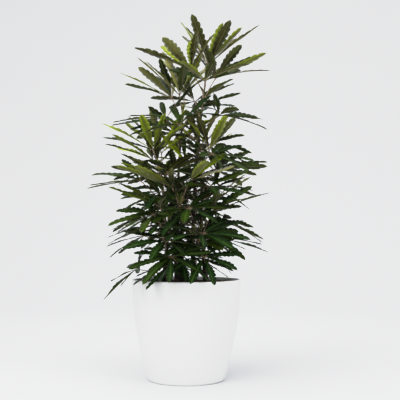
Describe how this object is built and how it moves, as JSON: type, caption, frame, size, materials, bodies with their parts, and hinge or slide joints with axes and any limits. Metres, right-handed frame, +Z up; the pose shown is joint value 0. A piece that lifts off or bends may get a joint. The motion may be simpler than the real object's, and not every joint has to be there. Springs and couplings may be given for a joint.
{
  "type": "potted false aralia",
  "caption": "Bushy false aralia with whorls of long toothed leaflets on slender stems, in a plain round white planter.",
  "frame": {"origin": "centre of the planter's flat underside", "axes": "+Z up along the planter's axis; -Y is the side that the picture shows, and +X is its right"},
  "size_m": [0.6068, 0.6545, 1.1493],
  "materials": {
    "planter_plastic": "satin",
    "potting_soil": "matte",
    "aralia_foliage": "satin"
  },
  "bodies": {
    "root": {"pot": "planter_plastic", "soil": "potting_soil", "leafy_stem_tall": "aralia_foliage", "leafy_stem_tall_left": "aralia_foliage", "leafy_stem_left": "aralia_foliage", "leafy_stem_right": "aralia_foliage", "leafy_stem_front": "aralia_foliage", "leafy_stem_back": "aralia_foliage", "leafy_stem_low_right": "aralia_foliage", "leafy_stem_low_left": "aralia_foliage", "leafy_stem_low_front": "aralia_foliage", "leafy_stem_low_back": "aralia_foliage"}
  },
  "joints": []
}
